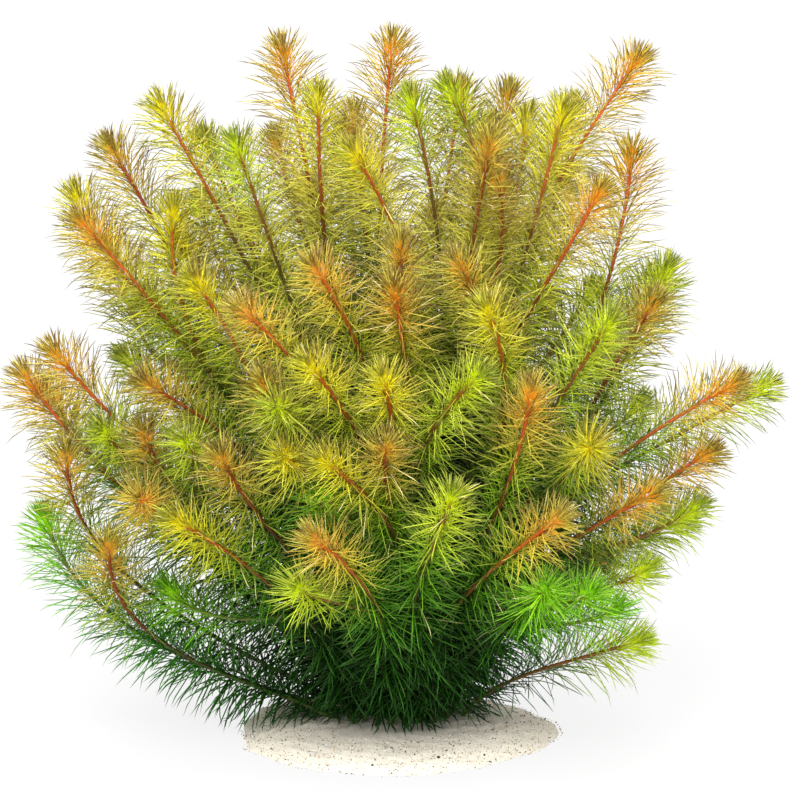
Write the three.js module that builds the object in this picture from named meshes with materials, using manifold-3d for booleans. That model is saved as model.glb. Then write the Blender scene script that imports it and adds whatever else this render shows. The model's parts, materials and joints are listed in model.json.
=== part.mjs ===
// A clump of whorly rotala rooted in a low patch of sand. Millimetres, +Z up.
// The origin is on the sand's flat underside, below the middle of the stems' feet, and the front of
// the clump faces -Y.
// Each stem is one solid with the side shoots that fork from it. A shoot is a thin stem inside
// a plume, the outer form of its whorls of needle leaves: cone tiers that open towards the tip.

import * as THREE from "three";
import { mergeVertices } from "three/addons/utils/BufferGeometryUtils.js";
import Module from "manifold-3d";

// Sand: an oval patch, thin at its rim, with a level top where the stems stand, and its middle in
// front of theirs. The slope is the share of the way out and the height. A wave makes the outline
// uneven: its share of the radius, how many there are round the patch, and where it starts.
const SAND_HALF_WIDTH = 57;
const SAND_HALF_DEPTH = 48;
const SAND_MIDDLE = -15;
const SAND_TOP = 3.6;
const SAND_SLOPE = [[0.76, SAND_TOP], [0.9, 2.3], [1, 0.9]];
const SAND_WAVES = [[0.025, 3, 1], [0.018, 5, 2]];
const SAND_SIDES = 24;

// Stems: a fan of arcs from an oval foot to the tips. The depth of the foot is a share of its
// width, and a stem starts the more upright the more its tip stands above its foot.
const FOOT_RADIUS = 34;
const FOOT_DEPTH = 0.55;
const FOOT_FULL_ANGLE = 105;
const FOOT_AIM_HEIGHT = 20;
const STEM_RADIUS = 0.95;
const GAP = 0.3;
const ARC_HANDLE = 0.36;
const START_UPRIGHT = 0.5;
const START_WITH_PARENT = 0.4;
const PATH_STEPS = 24;

// Spreading: stems nearer than their room push each other apart, a little in each round. The
// room grows from foot to tip, and the listed tips are held back near their places.
const FOOT_ROOM = 6.5;
const TIP_ROOM = 18;
const ROUNDS = 50;
const PUSH = 0.04;
const LONGEST_PUSH = 0.8;
const TIP_HOLD = 0.85;

// Plumes: how far the leaves reach from the stem, and the tiers that stand for their whorls.
const LEAF_REACH = 12.5;
const OLD_LEAF_REACH = 9;
const TUFT_HEIGHT = 9;
const TUFT_RIM = 4;
const TUFT_HEART = 0.5;
const TUFT_SHARE = 0.8;
const TIER_PITCH = 13;
const TIER_SLOPE = 9;
const TIER_WAIST = 0.36;
const STEM_TIERS = 3;
const SIDE_TIERS = 2;
const LOWER_RING_PITCH = 110;
const LOWER_RING_PLACE = 0.4;
const FORKED_REACH = 5;
const RING_SIDES = 5;
const AXIS_SAMPLE = 1.5;

// Back of the clump: stems set round the rear of an egg-shaped dome, from its top downwards, by
// the golden section. Heights and shares are of the dome's, and angles are in degrees.
const DOME = { across: 111, deep: 106, middle: 100, high: 140 };
const DOME_LEAN = { out: 0.8, up: 0.5 };
const GOLDEN = 0.618034;
const BACK = { stems: 16, top: 0.88, drop: 1.25, azimuth: 14, sweep: 152, start: 0.35 };
const BACK_SIDE = { turn: 20, lower: 12, share: 0.92, fork: 0.5 };
const BACK_SECOND_SIDE = { every: 4, higher: 8, share: 0.88, fork: 0.55 };
const BACK_TONES = ["orange", "olive", "gold", "russet", "olive"];
const LEAST_SPREAD = 0.45;

const TONES = {
  orange: "#d2884a",
  peach: "#dba266",
  gold: "#c3b04c",
  olive: "#93a03e",
  lime: "#6fb83c",
  russet: "#a97a4c",
  sand: "#d9cfbe",
};

// Each shoot has its tone, its tip (x, y and height above the sand) and its lean at the tip
// in degrees: to the right, then to the front. A side shoot adds how far up its stem it forks.
const side = (tone, tip, lean, fork) => ({ tone, tip, lean, fork });
const stem = (tone, tip, lean, ...sides) => ({ tone, tip, lean, sides });

const LEFT = [
  stem("gold", [-82, -16, 228], [-28, 8], side("gold", [-113, 0, 192], [-20, 0], 0.4)),
  stem("russet", [-100, -10, 212], [-28, 5], side("russet", [-104, 38, 163], [-15, -5], 0.5)),
  stem("orange", [-109, -40, 192], [-38, 12], side("gold", [-78, -35, 195], [4, 10], 0.55)),
  stem("orange", [-120, -30, 142], [-37, 10], side("olive", [-102, -50, 119], [-20, 50], 0.55)),
  stem("orange", [-132, -5, 127], [-33, 0], side("orange", [-125, 15, 116], [-30, -10], 0.6)),
  stem("russet", [-86, -70, 142], [-52, 25], side("gold", [-69, -70, 178], [-33, 20], 0.5)),
  stem("russet", [-116, -45, 109], [2, 20]),
  stem("lime", [-125, -20, 78], [-15, 5]),
  stem("russet", [-101, -50, 77], [5, 20]),
  stem(
    "peach", [-88, -78, 102], [-15, 65],
    side("russet", [-88, -60, 121], [-20, 30], 0.6),
    side("olive", [-72, -82, 124], [-20, 60], 0.6),
  ),
  stem("gold", [-76, -85, 97], [-50, 25], side("lime", [-80, -40, 58], [-30, 20], 0.45)),
];

const CROWN = [
  stem(
    "orange", [-40, 10, 243], [-11, 0],
    side("russet", [-43, 45, 202], [-15, -15], 0.5),
    side("gold", [-27, -20, 232], [0, 8], 0.6),
  ),
  stem("orange", [-1, 15, 244], [6, 0], side("russet", [-15, 40, 212], [-5, -15], 0.5)),
  stem("olive", [-55, -45, 221], [-17, 15]),
  stem("gold", [-14, -62, 222], [-30, 24]),
  stem("olive", [6, -10, 229], [-15, 5], side("olive", [20, 0, 231], [-28, 0], 0.5)),
  stem("russet", [41, 50, 218], [10, -15], side("gold", [64, 45, 214], [15, -12], 0.5)),
  stem(
    "gold", [59, -15, 226], [12, 5],
    side("gold", [47, 30, 213], [8, -10], 0.5),
    side("orange", [71, -50, 205], [26, 15], 0.5),
  ),
  stem("orange", [86, 15, 238], [35, 0]),
  stem("russet", [33, -36, 220], [8, 8], side("russet", [36, -30, 206], [-13, 5], 0.6)),
];

const RIGHT = [
  stem("orange", [84, -10, 210], [4, 3]),
  stem("olive", [96, -10, 167], [20, 3], side("russet", [91, -32, 161], [30, 15], 0.6)),
  stem("orange", [119, -35, 132], [57, 12], side("olive", [132, 0, 122], [58, 0], 0.55)),
  stem("gold", [68, -88, 124], [15, 68]),
  stem("orange", [90, -60, 99], [55, 20], side("olive", [88, -50, 68], [50, 20], 0.45)),
  stem("orange", [111, -25, 104], [55, 8], side("olive", [107, -15, 81], [50, 5], 0.5)),
  stem("olive", [86, -35, 37], [68, 12]),
  stem(
    "lime", [53, -90, 73], [20, 60],
    side("lime", [68, -82, 69], [40, 50], 0.6),
    side("lime", [77, -65, 58], [50, 35], 0.5),
  ),
  stem("olive", [74, -75, 165], [27, 22]),
];

const FRONT = [
  stem("gold", [32, -92, 174], [-18, 30], side("russet", [22, -75, 186], [-29, 20], 0.6)),
  stem("olive", [28, -100, 152], [38, 30]),
  stem("orange", [47, -95, 145], [8, 22]),
  stem("orange", [0, -85, 179], [-8, 30], side("russet", [2, -75, 192], [0, 20], 0.6)),
  stem("peach", [-27, -85, 187], [-28, 25]),
  stem("peach", [-52, -85, 172], [-42, 25]),
  stem("gold", [-29, -100, 156], [-33, 32], side("gold", [-4, -102, 152], [-14, 32], 0.6)),
  stem("olive", [-40, -103, 142], [-22, 60], side("russet", [-45, -92, 148], [-15, 40], 0.6)),
  stem("russet", [-61, -90, 121], [-26, 28]),
  stem(
    "gold", [-24, -106, 124], [-45, 30],
    side("russet", [-3, -104, 129], [5, 45], 0.55),
    side("gold", [-38, -105, 126], [-25, 62], 0.55),
    side("lime", [-25, -96, 108], [0, 50], 0.5),
  ),
  stem("peach", [-27, -104, 97], [-37, 30], side("olive", [-33, -98, 76], [-20, 60], 0.55)),
  stem("olive", [20, -106, 111], [18, 30]),
  stem("peach", [56, -92, 99], [45, 28]),
];

const rad = THREE.MathUtils.degToRad;
const UP = new THREE.Vector3(0, 0, 1);

// The direction of a tip that leans by these angles from upright.
function leanDirection([right, front]) {
  const r = rad(right);
  const f = rad(front);
  return new THREE.Vector3(Math.sin(r) * Math.cos(f), -Math.sin(f), Math.cos(r) * Math.cos(f));
}

// A shoot of the back, whose tip lies on the dome at an azimuth and an angle from the top.
function domeShoot(tone, azimuth, fromTop, share, fork) {
  const a = rad(azimuth);
  const t = rad(fromTop);
  const out = new THREE.Vector3(Math.cos(a) * Math.sin(t), Math.sin(a) * Math.sin(t), Math.cos(t));
  const tip = [
    share * DOME.across * out.x,
    share * DOME.deep * out.y,
    DOME.middle + share * DOME.high * out.z,
  ];
  const direction = out.multiplyScalar(DOME_LEAN.out).addScaledVector(UP, DOME_LEAN.up).normalize();
  return { tone, tip, direction, fork, free: true };
}

// The back stems, from the top downwards. Each has one or two side shoots beside it.
function backStems() {
  return Array.from({ length: BACK.stems }, (_, i) => {
    const height = BACK.top - ((i + 0.5) / BACK.stems) * BACK.drop;
    const fromTop = THREE.MathUtils.radToDeg(Math.acos(height));
    const azimuth = BACK.azimuth + BACK.sweep * ((BACK.start + GOLDEN * i) % 1);
    const turn = BACK_SIDE.turn / Math.max(Math.sin(rad(fromTop)), LEAST_SPREAD);
    const tone = (step) => BACK_TONES[(i + step) % BACK_TONES.length];
    const beside = (step, at, down, { share, fork }) =>
      domeShoot(tone(step), at, fromTop + down, share, fork);
    const sides = [beside(1, azimuth + turn, BACK_SIDE.lower, BACK_SIDE)];
    if (i % BACK_SECOND_SIDE.every === 0) {
      sides.push(beside(3, azimuth - turn, -BACK_SECOND_SIDE.higher, BACK_SECOND_SIDE));
    }
    return { ...domeShoot(tone(0), azimuth, fromTop, 1), sides };
  });
}

// Tip and direction of a row of the lists as vectors, with the tip's height from the underside.
function aimed(row) {
  const tip = new THREE.Vector3(...row.tip);
  tip.z += SAND_TOP;
  return { ...row, tip, direction: row.direction ?? leanDirection(row.lean) };
}

// Where a stem meets the sand: below its tip, further out the more the tip leans outwards.
function footOf(tip) {
  const out = Math.hypot(tip.x, tip.y);
  const rise = tip.z - SAND_TOP - FOOT_AIM_HEIGHT;
  const angle = THREE.MathUtils.radToDeg(Math.atan2(out, rise));
  const share = (FOOT_RADIUS * Math.min(angle / FOOT_FULL_ANGLE, 1)) / Math.max(out, 1);
  return new THREE.Vector3(tip.x * share, tip.y * share * FOOT_DEPTH, SAND_TOP + GAP);
}

// A cubic curve from start to tip. Its start direction mirrors the tip's about the chord, which
// makes an arc, and leans towards guide by the share given.
function arc(start, shoot, guide, share) {
  const chord = shoot.tip.clone().sub(start);
  const handle = ARC_HANDLE * chord.length();
  const along = chord.clone().normalize();
  const begin = along
    .multiplyScalar(2 * along.dot(shoot.direction))
    .sub(shoot.direction)
    .multiplyScalar(1 - share)
    .addScaledVector(guide, share)
    .normalize();
  const curve = new THREE.CubicBezierCurve3(
    start,
    start.clone().addScaledVector(begin, handle),
    shoot.tip.clone().addScaledVector(shoot.direction, -handle),
    shoot.tip,
  );
  return curve.getPoints(PATH_STEPS);
}

// All shoots in one list, each with its path, its stem's number and, for a side shoot, its fork.
function layOut(stems) {
  const shoots = [];
  stems.forEach((row, number) => {
    const main = aimed(row);
    const foot = footOf(main.tip);
    const rise = Math.max(main.tip.clone().sub(foot).normalize().z, 0);
    const path = arc(foot, main, UP, START_UPRIGHT * rise);
    const parent = shoots.length;
    shoots.push({ ...main, number, path });
    for (const branch of row.sides.map(aimed)) {
      const at = Math.round(branch.fork * PATH_STEPS);
      const tangent = path[at + 1].clone().sub(path[at - 1]).normalize();
      const branchPath = arc(path[at].clone(), branch, tangent, START_WITH_PARENT);
      shoots.push({ ...branch, number, path: branchPath, parent, at });
    }
  });
  return shoots;
}

// The push on each point of each path from the points of other stems within the room there.
function pushes(shoots) {
  const more = (TIP_ROOM - FOOT_ROOM) / PATH_STEPS / 2;
  return shoots.map((shoot) =>
    shoot.path.map((p, k) => {
      const push = new THREE.Vector3();
      for (const other of shoots) {
        if (other.number === shoot.number) continue;
        other.path.forEach((q, m) => {
          const dx = p.x - q.x;
          const dy = p.y - q.y;
          const dz = p.z - q.z;
          const apart = Math.sqrt(dx * dx + dy * dy + dz * dz);
          const room = FOOT_ROOM + more * (k + m);
          if (apart >= room || apart < 1e-6) return;
          const much = ((room - apart) * room) / (apart * (apart + 1));
          push.x += dx * much;
          push.y += dy * much;
          push.z += dz * much;
        });
      }
      return push.multiplyScalar(PUSH).clampLength(0, LONGEST_PUSH);
    }),
  );
}

// Moves the paths apart. Each round's pushes are smoothed along the stem, the feet stay on the
// sand, and a side shoot's start stays on its stem.
function spreadOut(shoots) {
  for (let round = 0; round < ROUNDS; round++) {
    const push = pushes(shoots);
    shoots.forEach((shoot, i) => {
      const near = (k) => push[i][THREE.MathUtils.clamp(k, 0, PATH_STEPS)];
      shoot.path.forEach((p, k) => {
        const move = near(k - 1).clone().addScaledVector(near(k), 2).add(near(k + 1));
        const hold = shoot.free ? 0 : TIP_HOLD * (k / PATH_STEPS) ** 3;
        move.multiplyScalar((1 - hold) / 4);
        if (k === 0) move.z = 0;
        p.add(move);
      });
    });
    for (const shoot of shoots) {
      if (shoot.parent === undefined) continue;
      shoot.path[0].copy(shoots[shoot.parent].path[shoot.at]);
    }
  }
}

// The distance from p to the segment from a to b.
function toSegment(p, a, b) {
  const line = b.clone().sub(a);
  const t = THREE.MathUtils.clamp(p.clone().sub(a).dot(line) / line.lengthSq(), 0, 1);
  return p.distanceTo(a.clone().addScaledVector(line, t));
}

// The distance from p to the nearest of these shoots' axes.
function toNearest(p, shoots) {
  let nearest = Infinity;
  for (const { axis } of shoots) {
    for (let k = 1; k < axis.length; k++) {
      nearest = Math.min(nearest, toSegment(p, axis[k - 1], axis[k]));
    }
  }
  return nearest;
}

// The wished radii of a shoot's rings, made less where another stem's shoot is near: at every
// sample of the axis between a ring and its neighbours, half the room is the most. Shoots of
// one stem share the room between them in the same way, down to FORKED_REACH.
function fittedRadii(shoot, shoots) {
  const { plan, axis } = shoot;
  const others = shoots.filter((other) => other.number !== shoot.number);
  const siblings = shoots.filter((other) => other.number === shoot.number && other !== shoot);
  const spans = axis.slice(1).map((end, k) => {
    const steps = Math.ceil(end.distanceTo(axis[k]) / AXIS_SAMPLE);
    const samples = Array.from({ length: steps + 1 }, (_, i) => axis[k].clone().lerp(end, i / steps));
    return Math.min(...samples.map((p) => toNearest(p, others) / 2 - GAP / 2));
  });
  return plan.map(([, wished], k) => {
    const shared = Math.max(toNearest(axis[k], siblings) / 2, FORKED_REACH);
    return Math.min(wished, shared, spans[Math.max(k - 1, 0)], spans[k]);
  });
}

// The rings of a shoot from its start to its tip, each as its distance along the axis and its
// wished radius. Tiers open towards the tip; below them the plume narrows to the bare stem.
function ringPlan(length, isSide) {
  const tiers = Math.min(
    isSide ? SIDE_TIERS : STEM_TIERS,
    Math.max(1, Math.floor(length / TIER_PITCH) - 1),
  );
  const plan = [[0, STEM_RADIUS]];
  const rim = (k) => length + TUFT_RIM - TIER_PITCH * k;
  if (!isSide) {
    const below = rim(tiers - 1) - TIER_SLOPE;
    const count = Math.max(1, Math.round(below / LOWER_RING_PITCH));
    for (let k = 0; k < count; k++) {
      plan.push([((k + LOWER_RING_PLACE) / count) * below, OLD_LEAF_REACH]);
    }
  }
  for (let k = tiers - 1; k >= 0; k--) {
    plan.push([rim(k) - TIER_SLOPE, LEAF_REACH * TIER_WAIST]);
    plan.push([rim(k), LEAF_REACH * (k === 0 ? TUFT_SHARE : 1)]);
  }
  plan.push([length + TUFT_HEART, LEAF_REACH * TIER_WAIST * TUFT_SHARE]);
  return plan;
}

// The point of a shoot's axis at distance s from its start, and the direction there. The axis
// runs straight on past the end of the stem.
function onAxis({ curve, length }, s) {
  const u = THREE.MathUtils.clamp(s / length, 0, 1);
  const tangent = curve.getTangentAt(u);
  const centre = curve.getPointAt(u).addScaledVector(tangent, Math.max(s - length, 0));
  return { centre, tangent };
}

// A closed solid of rings round an axis, twisted by half a side from ring to ring, with a point
// at the tip. A stem's lowest ring lies level on the sand.
function plume(shoot, radii) {
  const { plan, axis } = shoot;
  const n = RING_SIDES;
  const points = [];
  const normal = new THREE.Vector3(1, 0, 0);
  plan.forEach(([s], k) => {
    const { centre, tangent } = onAxis(shoot, s);
    if (k === 0 && shoot.parent === undefined) tangent.copy(UP);
    normal.addScaledVector(tangent, -normal.dot(tangent)).normalize();
    const across = tangent.clone().cross(normal);
    for (let i = 0; i < n; i++) {
      const a = ((i + (k % 2) / 2) / n) * 2 * Math.PI;
      const p = centre.clone();
      p.addScaledVector(normal, radii[k] * Math.cos(a));
      p.addScaledVector(across, radii[k] * Math.sin(a));
      points.push(p);
    }
  });
  const foot = points.push(axis[0]) - 1;
  const tip = points.push(axis[axis.length - 1]) - 1;

  const faces = [];
  for (let k = 1; k < plan.length; k++) {
    for (let i = 0; i < n; i++) {
      const low = (k - 1) * n;
      const high = k * n;
      const j = (i + 1) % n;
      if (k % 2) faces.push(low + i, low + j, high + i, low + j, high + j, high + i);
      else faces.push(low + i, high + j, high + i, low + i, low + j, high + j);
    }
  }
  const top = (plan.length - 1) * n;
  for (let i = 0; i < n; i++) {
    const j = (i + 1) % n;
    faces.push(foot, j, i, tip, top + i, top + j);
  }
  const positions = new Float32Array(points.flatMap((p) => [p.x, p.y, p.z]));
  return { positions, faces: new Uint32Array(faces) };
}

const wasm = await Module();
wasm.setup();

// A closed surface as a solid, and a solid as a geometry.
const solidOf = ({ positions, faces }) =>
  new wasm.Manifold(new wasm.Mesh({ numProp: 3, vertProperties: positions, triVerts: faces }));

function geometryOf(solid) {
  const mesh = solid.getMesh();
  const geometry = new THREE.BufferGeometry();
  geometry.setAttribute("position", new THREE.BufferAttribute(mesh.vertProperties, 3));
  geometry.setIndex(new THREE.BufferAttribute(mesh.triVerts, 1));
  geometry.computeVertexNormals();
  return geometry;
}

// The shoots of one stem as one solid. A pocket that its plumes close in is filled, by keeping
// the outer surface alone.
function joined(solids) {
  const surfaces = solids.reduce((a, b) => a.add(b)).decompose();
  return surfaces.reduce((a, b) => (a.volume() > b.volume() ? a : b));
}

// The sand: its slope turned round the upright axis, then stretched to an uneven oval.
function sandSolid() {
  const outline = [[0, 0], [1, 0], ...SAND_SLOPE.toReversed(), [0, SAND_TOP]];
  const profile = outline.map(([share, height]) => new THREE.Vector2(share, height));
  const geometry = new THREE.LatheGeometry(profile, SAND_SIDES);
  geometry.rotateX(Math.PI / 2);
  const position = geometry.getAttribute("position");
  for (let i = 0; i < position.count; i++) {
    const x = position.getX(i);
    const y = position.getY(i);
    const a = Math.atan2(y, x);
    const wave = SAND_WAVES.reduce((sum, [size, count, from]) => sum + size * Math.sin(count * a + from), 1);
    position.setXY(i, x * wave * SAND_HALF_WIDTH, y * wave * SAND_HALF_DEPTH + SAND_MIDDLE);
  }
  geometry.deleteAttribute("normal");
  geometry.deleteAttribute("uv");
  const merged = mergeVertices(geometry, 1e-4);
  return solidOf({
    positions: merged.getAttribute("position").array,
    faces: new Uint32Array(merged.index.array),
  });
}

function meshOf(name, solid, tone) {
  const material = new THREE.MeshStandardMaterial({ color: TONES[tone], roughness: 0.8 });
  const mesh = new THREE.Mesh(geometryOf(solid), material);
  mesh.name = name;
  return mesh;
}

const REGIONS = { left: LEFT, crown: CROWN, right: RIGHT, front: FRONT, back: backStems() };
const stems = Object.values(REGIONS).flat();
const names = Object.entries(REGIONS).flatMap(([region, list]) =>
  list.map((_, i) => `${region}_stem_${String(i + 1).padStart(2, "0")}`),
);

const shoots = layOut(stems);
spreadOut(shoots);
for (const shoot of shoots) {
  shoot.curve = new THREE.CatmullRomCurve3(shoot.path);
  shoot.length = shoot.curve.getLength();
  shoot.plan = ringPlan(shoot.length, shoot.parent !== undefined);
  const stations = [...shoot.plan.map(([s]) => s), shoot.length + TUFT_HEIGHT];
  shoot.axis = stations.map((s) => onAxis(shoot, s).centre);
}

const clump = new THREE.Group();
clump.add(meshOf("sand_bed", sandSolid(), "sand"));
stems.forEach((row, number) => {
  const own = shoots.filter((shoot) => shoot.number === number);
  const solids = own.map((shoot) => solidOf(plume(shoot, fittedRadii(shoot, shoots))));
  clump.add(meshOf(names[number], joined(solids), row.tone));
});

export default clump;
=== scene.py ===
"""A bushy clump of whorly rotala in a low patch of sand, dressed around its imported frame.

Each stem of the frame is replaced by one piece: its thin stems and their whorls of needle leaves.
The list of shoots, their arcs and the spreading are those of the frame's own source, so a piece
stands where its solid stands. The plan is in millimetres, and every mesh is in metres.
"""

import json
import logging
import math
from collections.abc import Sequence
from dataclasses import dataclass, fields, replace
from enum import Enum
from typing import TypeVar

import bpy
import numpy as np
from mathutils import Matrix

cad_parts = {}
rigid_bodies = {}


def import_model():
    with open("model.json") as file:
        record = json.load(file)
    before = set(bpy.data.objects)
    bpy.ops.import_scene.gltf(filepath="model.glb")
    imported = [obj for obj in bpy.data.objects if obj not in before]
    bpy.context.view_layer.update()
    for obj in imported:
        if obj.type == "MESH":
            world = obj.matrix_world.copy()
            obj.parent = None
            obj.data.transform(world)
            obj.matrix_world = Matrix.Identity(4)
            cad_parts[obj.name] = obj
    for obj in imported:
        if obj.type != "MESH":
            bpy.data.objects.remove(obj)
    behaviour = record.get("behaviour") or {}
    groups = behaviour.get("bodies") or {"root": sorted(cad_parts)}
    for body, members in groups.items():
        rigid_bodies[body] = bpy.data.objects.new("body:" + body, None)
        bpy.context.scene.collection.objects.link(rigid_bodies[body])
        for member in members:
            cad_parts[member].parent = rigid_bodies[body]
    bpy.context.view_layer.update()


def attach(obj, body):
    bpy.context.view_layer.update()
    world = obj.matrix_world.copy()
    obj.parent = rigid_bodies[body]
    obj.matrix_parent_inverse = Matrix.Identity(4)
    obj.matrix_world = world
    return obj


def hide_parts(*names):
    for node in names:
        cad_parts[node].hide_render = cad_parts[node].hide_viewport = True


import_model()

Array = np.ndarray
Band = tuple[float, float]
Point = tuple[float, float, float]
Wave = tuple[float, int, float]
Stops = tuple[tuple[float, str], ...]
Socket = bpy.types.NodeSocket
Input = Socket | float | str | Sequence[float]
Key = int | str
Record = TypeVar("Record")
log = logging.getLogger("rotala")

MM = 0.001
UP = np.array([0.0, 0.0, 1.0])
GOLDEN = 0.618034
TINY = 1e-12  # keeps a division or a root away from zero
SAND_SEED = 5
FIRST_SHOOT_SEED = 1000
# painted glow of the leaves next to a tip, in place of light shining through them
HEART_PAINTED_GLOW = 0.3
CARRIED = ("below_tip", "along", "tint", "blush")  # what a patch's points carry


class Tone(Enum):
    """The colour that a shoot has at its tip."""

    ORANGE = "orange"
    PEACH = "peach"
    GOLD = "gold"
    OLIVE = "olive"
    LIME = "lime"
    RUSSET = "russet"


class Form(Enum):
    """What a part of a stem's mesh is. Each tone has one material for each form."""

    LEAF = 0
    # the bases of the leaves next to a tip, whose material adds a painted glow
    HEART = 1
    BARK = 2

    def slot(self, tone: int) -> int:
        """The number of this form's material for the stem's tone of this number."""
        return tone * len(Form) + self.value


def unit(vectors: Array) -> Array:
    """Vectors, along the last axis, divided by their lengths."""
    return vectors / np.maximum(np.linalg.norm(vectors, axis=-1, keepdims=True), TINY)


def blend(low: float, high: float, value: Array) -> Array:
    """A soft step: 0 before low, 1 after high, and 3t^2 - 2t^3 between them."""
    t = np.clip((value - low) / (high - low), 0, 1)
    return t * t * (3 - 2 * t)


def between(one: float, other: float, share: Array) -> Array:
    """The values at these shares of the way from one to the other."""
    return one + (other - one) * share


# The plan of the clump: each shoot's tone, tip and lean, as in the frame's source.


def lean_direction(right: float, front: float) -> Point:
    """The unit vector of a tip that leans to the right and to the front by these degrees."""
    r, f = math.radians(right), math.radians(front)
    return (math.sin(r) * math.cos(f), -math.sin(f), math.cos(r) * math.cos(f))


@dataclass(frozen=True)
class Shoot:
    """A shoot of the plan, in millimetres, with its tip's height above the sand."""

    tone: Tone
    tip: Point
    direction: Point
    fork: float = 0.0
    free: bool = False
    sides: tuple["Shoot", ...] = ()


def side(tone: Tone, tip: Point, lean: Band, fork: float) -> Shoot:
    """A side shoot that leaves its stem at the share fork of the way up."""
    return Shoot(tone, tip, lean_direction(*lean), fork)


def stem(tone: Tone, tip: Point, lean: Band, *sides: Shoot) -> Shoot:
    """A stem rooted in the sand, with its side shoots."""
    return Shoot(tone, tip, lean_direction(*lean), sides=sides)


ORANGE, PEACH, GOLD, OLIVE, LIME, RUSSET = Tone

LEFT = (
    stem(GOLD, (-82, -16, 228), (-28, 8), side(GOLD, (-113, 0, 192), (-20, 0), 0.4)),
    stem(RUSSET, (-100, -10, 212), (-28, 5), side(RUSSET, (-104, 38, 163), (-15, -5), 0.5)),
    stem(ORANGE, (-109, -40, 192), (-38, 12), side(GOLD, (-78, -35, 195), (4, 10), 0.55)),
    stem(ORANGE, (-120, -30, 142), (-37, 10), side(OLIVE, (-102, -50, 119), (-20, 50), 0.55)),
    stem(ORANGE, (-132, -5, 127), (-33, 0), side(ORANGE, (-125, 15, 116), (-30, -10), 0.6)),
    stem(RUSSET, (-86, -70, 142), (-52, 25), side(GOLD, (-69, -70, 178), (-33, 20), 0.5)),
    stem(RUSSET, (-116, -45, 109), (2, 20)),
    stem(LIME, (-125, -20, 78), (-15, 5)),
    stem(RUSSET, (-101, -50, 77), (5, 20)),
    stem(
        PEACH, (-88, -78, 102), (-15, 65),
        side(RUSSET, (-88, -60, 121), (-20, 30), 0.6),
        side(OLIVE, (-72, -82, 124), (-20, 60), 0.6),
    ),
    stem(GOLD, (-76, -85, 97), (-50, 25), side(LIME, (-80, -40, 58), (-30, 20), 0.45)),
)

CROWN = (
    stem(
        ORANGE, (-40, 10, 243), (-11, 0),
        side(RUSSET, (-43, 45, 202), (-15, -15), 0.5),
        side(GOLD, (-27, -20, 232), (0, 8), 0.6),
    ),
    stem(ORANGE, (-1, 15, 244), (6, 0), side(RUSSET, (-15, 40, 212), (-5, -15), 0.5)),
    stem(OLIVE, (-55, -45, 221), (-17, 15)),
    stem(GOLD, (-14, -62, 222), (-30, 24)),
    stem(OLIVE, (6, -10, 229), (-15, 5), side(OLIVE, (20, 0, 231), (-28, 0), 0.5)),
    stem(RUSSET, (41, 50, 218), (10, -15), side(GOLD, (64, 45, 214), (15, -12), 0.5)),
    stem(
        GOLD, (59, -15, 226), (12, 5),
        side(GOLD, (47, 30, 213), (8, -10), 0.5),
        side(ORANGE, (71, -50, 205), (26, 15), 0.5),
    ),
    stem(ORANGE, (86, 15, 238), (35, 0)),
    stem(RUSSET, (33, -36, 220), (8, 8), side(RUSSET, (36, -30, 206), (-13, 5), 0.6)),
)

RIGHT = (
    stem(ORANGE, (84, -10, 210), (4, 3)),
    stem(OLIVE, (96, -10, 167), (20, 3), side(RUSSET, (91, -32, 161), (30, 15), 0.6)),
    stem(ORANGE, (119, -35, 132), (57, 12), side(OLIVE, (132, 0, 122), (58, 0), 0.55)),
    stem(GOLD, (68, -88, 124), (15, 68)),
    stem(ORANGE, (90, -60, 99), (55, 20), side(OLIVE, (88, -50, 68), (50, 20), 0.45)),
    stem(ORANGE, (111, -25, 104), (55, 8), side(OLIVE, (107, -15, 81), (50, 5), 0.5)),
    stem(OLIVE, (86, -35, 37), (68, 12)),
    stem(
        LIME, (53, -90, 73), (20, 60),
        side(LIME, (68, -82, 69), (40, 50), 0.6),
        side(LIME, (77, -65, 58), (50, 35), 0.5),
    ),
    stem(OLIVE, (74, -75, 165), (27, 22)),
)

FRONT = (
    stem(GOLD, (32, -92, 174), (-18, 30), side(RUSSET, (22, -75, 186), (-29, 20), 0.6)),
    stem(OLIVE, (28, -100, 152), (38, 30)),
    stem(ORANGE, (47, -95, 145), (8, 22)),
    stem(ORANGE, (0, -85, 179), (-8, 30), side(RUSSET, (2, -75, 192), (0, 20), 0.6)),
    stem(PEACH, (-27, -85, 187), (-28, 25)),
    stem(PEACH, (-52, -85, 172), (-42, 25)),
    stem(GOLD, (-29, -100, 156), (-33, 32), side(GOLD, (-4, -102, 152), (-14, 32), 0.6)),
    stem(OLIVE, (-40, -103, 142), (-22, 60), side(RUSSET, (-45, -92, 148), (-15, 40), 0.6)),
    stem(RUSSET, (-61, -90, 121), (-26, 28)),
    stem(
        GOLD, (-24, -106, 124), (-45, 30),
        side(RUSSET, (-3, -104, 129), (5, 45), 0.55),
        side(GOLD, (-38, -105, 126), (-25, 62), 0.55),
        side(LIME, (-25, -96, 108), (0, 50), 0.5),
    ),
    stem(PEACH, (-27, -104, 97), (-37, 30), side(OLIVE, (-33, -98, 76), (-20, 60), 0.55)),
    stem(OLIVE, (20, -106, 111), (18, 30)),
    stem(PEACH, (56, -92, 99), (45, 28)),
)


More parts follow.
